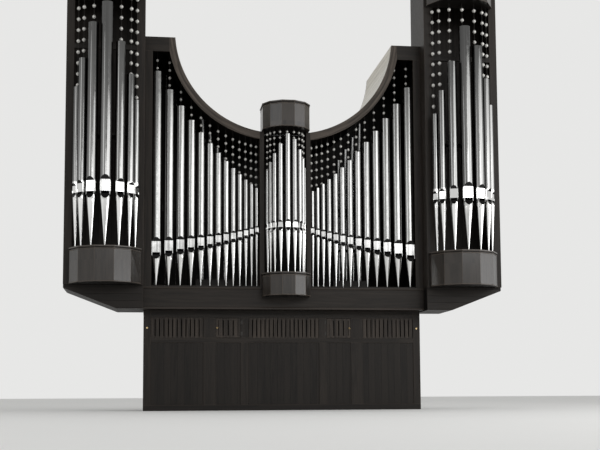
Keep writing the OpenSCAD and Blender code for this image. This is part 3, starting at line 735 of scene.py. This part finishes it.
class ORGAN_OT_pipes(bpy.types.Operator):
    """Dress the speaking pipes in planed tin, and put black sheets of painted shade inside them behind the
    mouths
    """

    bl_idname = "organ.pipes"
    bl_label = "Dress the Pipes"

    def execute(self, context):
        colours = context.scene.organ_finish
        colour, highlight = tuple(colours.pipe_tin), tuple(colours.pipe_highlight)
        dress(tin("tin_flats", colour, highlight, 0.15, side_shade=0.85), "flat_pipes_left", "flat_pipes_right")
        # The pedal pipes' tin is darker than the centre tower's
        for name, tin_tone, gloss in (("centre_pipes", 1, 0.15), ("pedal_pipes", 0.74, 0.08)):
            finish = tin("tin_" + name, shade(colour, tin_tone), highlight, gloss, side_shade=0.55,
                         lips=self.lip_heights(name))
            dress(finish, name)
        dress(tin("tin_inner", shade(colour, 0.7), shade(highlight, 0.6), 0.25, side_shade=0.5), "inner_pipes")
        # Painted shade: black sheets inside the pipes behind their mouths
        black = shade_sheet_finish("pipe_soot", tuple(colours.throat_shade))
        for name in ("flat_pipes_left", "flat_pipes_right", "centre_pipes", "pedal_pipes", "inner_pipes"):
            shape = bmesh.new()
            for solid in solids_of(name):
                self.add_throat_shade(shape, *mouth_of(solid))
            add_piece(name + "_throats", shape, (black,))
        return {"FINISHED"}

    def lip_heights(self, name):
        """How high the lips of a tower's pipes start, and where those of its widest pipe end."""
        radius, _, floor = max(mouth_of(solid)[1:] for solid in solids_of(name))
        low = floor + radius * LIP_START
        return low, low + radius * LIP_HIGH

    def add_throat_shade(self, shape, axis, radius, front, floor):
        """A thin black sheet of painted shade on the back wall, behind and above the mouth, and on the
        mouth's floor.
        """
        inner = radius - min(PIPE_WALL, radius / 6) - SHADE_SHEET_GAP
        bottom = floor + 0.001
        heading = math.atan2(front.y, front.x)
        angles = [heading + math.radians(a) for a in range(*SHADE_SHEET_TURNS, 8)]
        ring = [Vector((axis.x + inner * math.cos(a), axis.y + inner * math.sin(a), 0)) for a in angles]
        low, high = ([shape.verts.new(p + Vector((0, 0, z))) for p in ring]
                     for z in (bottom, bottom + radius * 3))
        for i in range(1, len(ring)):
            shape.faces.new((low[i], low[i - 1], high[i - 1], high[i]))
        shape.faces.new(low)


class ORGAN_OT_beads(bpy.types.Operator):
    """Turn silvered beads and hang them on thin iron rods over the pipes"""

    bl_idname = "organ.beads"
    bl_label = "Hang the Beaded Rods"

    def execute(self, context):
        colours, sizes = context.scene.organ_finish, context.scene.organ_joinery
        finishes = (silver_leaf("bead_silver_leaf", tuple(colours.bead_silver)),
                    iron("rod_iron", tuple(colours.rod_iron)))
        for name in ("bead_rods_left", "bead_rods_right", "centre_beads", "pedal_beads"):
            shape = bmesh.new()
            for solid in solids_of(name):
                self.hang_rod(shape, *rod_and_beads(solid), sizes.rod)
            piece = add_piece(name + "_turned", shape, finishes)
            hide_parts(name)
        return {"FINISHED"}

    def hang_rod(self, shape, axis, ends, radius, heights, rod):
        """An iron rod between its two ends, with a bead at each height."""
        foot_highlight = Matrix.Translation((*axis, ends[0]))
        turn(shape, [(rod, 0), (rod, ends[1] - ends[0])], foot_highlight, segments=10, finish=1)
        if radius > 2 * rod:
            for z in heights:
                turn(shape, bead_profile(radius, rod * 0.9), Matrix.Translation((*axis, z)))


class ORGAN_OT_mouldings(bpy.types.Operator):
    """Run thin mouldings along the lower and upper edge of the impost"""

    bl_idname = "organ.mouldings"
    bl_label = "Run the Mouldings"

    def execute(self, context):
        colours, sizes = context.scene.organ_finish, context.scene.organ_joinery
        tones = (shade(colours.case_light, 0.9), shade(colours.case_light, 1.7))
        outline = ovolo(sizes.moulding_out, sizes.moulding_high)
        out, up = Vector((0, -1, 0)), Vector((0, 0, 1))
        (left, face, low), (right, _, high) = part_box("impost_beam")
        drum_left, drum_right = (corner.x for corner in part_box("centre_base"))
        shape = bmesh.new()
        for start, end, z, upward in ((left, right, low, up), (left, drum_left, high, -up),
                                      (drum_right, right, high, -up)):
            run(shape, outline, Vector((start, face, z)), Vector((end, face, z)), out, upward)
        add_piece("impost_mouldings", shape, (oak("oak_moulding", tones, "X", gloss=0.38),))
        return {"FINISHED"}


class ORGAN_OT_fittings(bpy.types.Operator):
    """Dress the hatches' knobs and hinges, and add their screws and the key plates"""

    bl_idname = "organ.fittings"
    bl_label = "Fit Knobs, Hinges and Key Plates"

    def execute(self, context):
        colours, sizes = context.scene.organ_finish, context.scene.organ_joinery
        metal = brass("brass_fittings", tuple(colours.knob_brass))
        black = iron("hinge_iron", tuple(colours.rod_iron))
        dress(metal, "hatch_knob_left", "hatch_knob_right")
        dress(black, "hatch_hinges")
        for side, name, hatch in ((-1, "left", "left_hatch"), (1, "right", "right_hatch")):
            self.add_screws(side, name, hatch, sizes.screw, black)
        self.add_key_plates(sizes.key_plate, metal, black)
        return {"FINISHED"}

    def add_screws(self, side, name, hatch, radius, black):
        """Two domed screws in each hinge's plate on the frame, and two in its plate on the hatch."""
        pin = next(joint["pos_m"][0] for joint in frame["joints"] if joint["child"] == hatch)
        head = [(radius, 0), (radius, 0.0006), (radius * 0.7, 0.0013), (radius * 0.25, 0.0016)]
        for place, body in (("frame", "case"), ("hatch", hatch)):
            shape = bmesh.new()
            for solid in solids_of("hatch_hinges"):
                low, high = box_of(solid)
                plate_x = side * min(abs(low.x), abs(high.x))
                if plate_x * (low.x + high.x) < 0:
                    continue
                face_y = min(p.y for p in solid if abs(p.x - plate_x) < 0.001)
                x = plate_x + side * SCREW_IN
                if place == "hatch":
                    x = 2 * pin - x
                for z in (low.z + SCREW_DOWN, high.z - SCREW_DOWN):
                    turn(shape, head, out_of_front(x, face_y, z), segments=14)
            add_piece("_".join(("screws", name, place)), shape, (black,), body)

    def add_key_plates(self, radius, metal, black):
        """Round plates with a keyhole on the lower case's corner posts, level with the knobs."""
        knob_low, knob_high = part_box("hatch_knob_right")
        post_low, post_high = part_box("lower_posts")
        panel_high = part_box("slat_panels")[1]
        x, z = (panel_high.x + post_high.x) / 2, (knob_low.z + knob_high.z) / 2
        plate = [(radius, 0), (radius, 0.0015), (radius * 0.9, 0.003), (radius * 0.8, 0.0022),
                 (radius * 0.25, 0.0028)]
        # Painted shade: the keyhole is a small black iron disc that stands for the hole
        keyhole = [(radius * 0.2, 0.0026), (radius * 0.18, 0.0031)]
        for side, name in ((-1, "key_plate_left"), (1, "key_plate_right")):
            shape = bmesh.new()
            place = out_of_front(side * x, post_low.y, z)
            turn(shape, plate, place, segments=32)
            turn(shape, keyhole, place, segments=16, finish=1)
            add_piece(name, shape, (metal, black))


class ORGAN_OT_stage(bpy.types.Operator):
    """Set the floor, the pale surroundings, the soft lights and the camera"""

    bl_idname = "organ.stage"
    bl_label = "Set the Stage"

    def execute(self, context):
        stage = context.scene.organ_stage
        self.lay_floor(stage)
        self.light_room(context.scene, stage)
        for name, (at, size) in LAMPS.items():
            self.hang_lamp(name + "_light", getattr(stage, name), at, size)
        self.place_camera(context.scene, stage)
        context.scene.view_settings.view_transform = "Standard"
        return {"FINISHED"}

    def lay_floor(self, stage):
        """One wide painted sheet at the level of the gallery floor."""
        mesh = bpy.data.meshes.new("studio_floor")
        corners = [(x * FLOOR_HALF, y * FLOOR_HALF, 0) for x, y in ((-1, -1), (1, -1), (1, 1), (-1, 1))]
        mesh.from_pydata(corners, [], [(0, 1, 2, 3)])
        mesh.materials.append(studio_paint("studio_paint", tuple(stage.floor)))
        floor = bpy.data.objects.new("studio_floor", mesh)
        bpy.context.collection.objects.link(floor)

    def light_room(self, scene, stage):
        """Surroundings that look pale to the camera and in reflections, and light the organ a little less."""
        world = bpy.data.worlds.new("studio")
        scene.world = world
        world.use_nodes = True
        world.node_tree.nodes.clear()
        net = Net(world.node_tree)
        path = {wire.socket.name: wire for wire in net.all_outputs(net.node("ShaderNodeLightPath"))}
        seen = path["Is Camera Ray"].or_more(path["Is Glossy Ray"]).or_more(path["Is Transmission Ray"])
        strength = seen * (stage.backdrop - stage.ambient) + stage.ambient
        glow = net.node("ShaderNodeBackground", inputs={"Color": (1, 1, 0.99), "Strength": strength})
        net.node("ShaderNodeOutputWorld", inputs={"Surface": glow})

    def hang_lamp(self, name, power, at, size):
        """A wide soft lamp that aims at the pipes."""
        lamp = bpy.data.lights.new(name, "AREA")
        lamp.shape = "RECTANGLE"
        lamp.size, lamp.size_y = size
        lamp.energy = power
        holder = bpy.data.objects.new(name, lamp)
        holder.location = at
        holder.rotation_euler = (LAMPS_AIM - Vector(at)).to_track_quat("-Z", "Y").to_euler()
        bpy.context.collection.objects.link(holder)

    def place_camera(self, scene, stage):
        """A camera that looks ahead from its place, turned, tilted and rolled."""
        lens = bpy.data.cameras.new("camera")
        lens.lens = stage.lens
        lens.sensor_width = 36
        lens.shift_y = stage.shift
        lens.clip_end = 500
        camera = bpy.data.objects.new("camera", lens)
        ahead = Vector((math.sin(stage.heading) * math.cos(stage.tilt),
                        math.cos(stage.heading) * math.cos(stage.tilt), math.sin(stage.tilt)))
        right = Vector((math.cos(stage.heading), -math.sin(stage.heading), 0))
        up = right.cross(ahead)
        side = right * math.cos(stage.roll) + up * math.sin(stage.roll)
        turned = Matrix((side, side.cross(ahead), -ahead)).transposed().to_4x4()
        camera.matrix_world = Matrix.Translation(stage.camera_at) @ turned
        bpy.context.collection.objects.link(camera)
        scene.camera = camera


class ORGAN_PT_panel(bpy.types.Panel):
    """Lists the operators that dress the organ, and its settings"""

    bl_idname = "ORGAN_PT_panel"
    bl_label = "Organ"
    bl_space_type = "VIEW_3D"
    bl_region_type = "UI"
    bl_category = "Organ"

    def draw(self, context):
        for operator in OPERATORS:
            self.layout.operator(operator.bl_idname)
        for group in GROUPS:
            settings = getattr(context.scene, group)
            box = self.layout.box()
            for key in settings.__annotations__:
                box.prop(settings, key)


GROUPS = {
    "organ_finish": OrganFinishSettings,
    "organ_joinery": OrganJoinerySettings,
    "organ_stage": OrganStageSettings,
}
OPERATORS = (ORGAN_OT_case, ORGAN_OT_drums, ORGAN_OT_pipes, ORGAN_OT_beads, ORGAN_OT_mouldings,
             ORGAN_OT_fittings, ORGAN_OT_stage)


def register():
    for cls in (*GROUPS.values(), *OPERATORS, ORGAN_PT_panel):
        bpy.utils.register_class(cls)
    for name, cls in GROUPS.items():
        setattr(bpy.types.Scene, name, PointerProperty(type=cls))


def unregister():
    for name in GROUPS:
        delattr(bpy.types.Scene, name)
    for cls in (ORGAN_PT_panel, *reversed(OPERATORS), *reversed(GROUPS.values())):
        bpy.utils.unregister_class(cls)


def main():
    register()
    for build in (bpy.ops.organ.case, bpy.ops.organ.drums, bpy.ops.organ.pipes, bpy.ops.organ.beads,
                  bpy.ops.organ.mouldings, bpy.ops.organ.fittings, bpy.ops.organ.stage):
        build()


if __name__ == "__main__":
    main()
